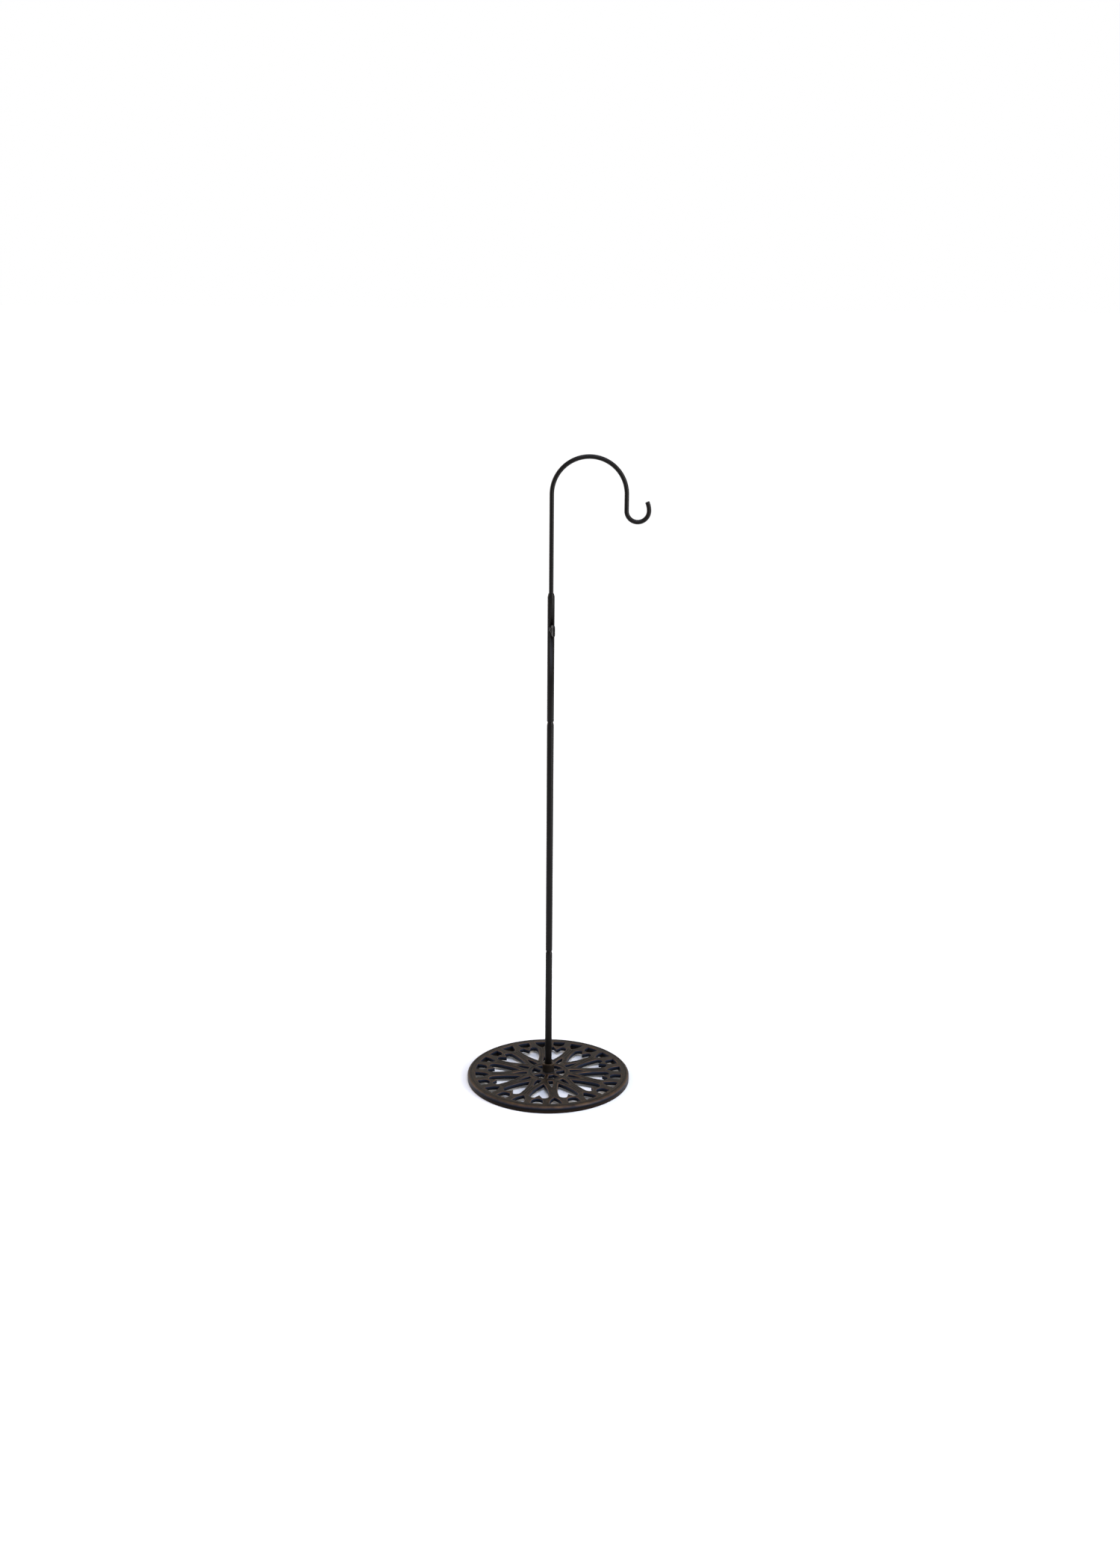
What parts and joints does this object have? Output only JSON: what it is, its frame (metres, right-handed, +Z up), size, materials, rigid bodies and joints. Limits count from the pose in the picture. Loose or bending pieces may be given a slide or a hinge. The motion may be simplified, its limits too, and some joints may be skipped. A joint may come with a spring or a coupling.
{
  "type": "hanging plant stand",
  "caption": "Floor stand for a hanging plant: a pierced cast-iron disc carries a jointed steel pole, with a bent hook rod that slides, swivels and clamps in its top tube.",
  "frame": {"origin": "on the floor, on the pole's axis, at the middle of the base", "axes": "+Z up the pole, +X the way the arch reaches, -Y towards the side with the thumb screw"},
  "size_m": [0.3255, 0.305, 1.1715],
  "materials": {
    "base_iron": "sand casting under a dark satin coat, brown where it thins on the edges",
    "pole_black": "satin black powder coat on steel",
    "zinc_plate": "bright zinc plate on turned steel",
    "black_nylon": "moulded nylon, matt"
  },
  "bodies": {
    "stand": {"base_casting": "base_iron", "base_bolt": "zinc_plate", "spring_washer": "zinc_plate", "flat_washer": "zinc_plate", "foot_insert": "zinc_plate", "lower_tube": "pole_black", "lower_joint_insert": "pole_black", "lower_joint_stud": "zinc_plate", "middle_tube": "pole_black", "upper_joint_insert": "pole_black", "upper_joint_stud": "zinc_plate", "upper_tube": "pole_black", "clamp_nut": "pole_black", "top_collar": "pole_black"},
    "glide": {"rod_glide": "black_nylon"},
    "hook": {"hook_rod": "pole_black"},
    "clamp_screw": {"thumb_screw": "pole_black"}
  },
  "joints": [
    {"name": "hook_height", "type": "slide", "parent": "stand", "child": "glide", "axis": [0, 0, 1], "range_m": [-0.045, 0.07]},
    {"name": "hook_swivel", "type": "hinge", "parent": "glide", "child": "hook", "pos_m": [0, 0, 0.7785], "axis": [0, 0, 1], "continuous": true},
    {"name": "thumb_screw_turn", "type": "hinge", "parent": "stand", "child": "clamp_screw", "pos_m": [0, 0, 0.8665], "axis": [0.1736, -0.9848, 0], "range_deg": [0, 450]}
  ]
}
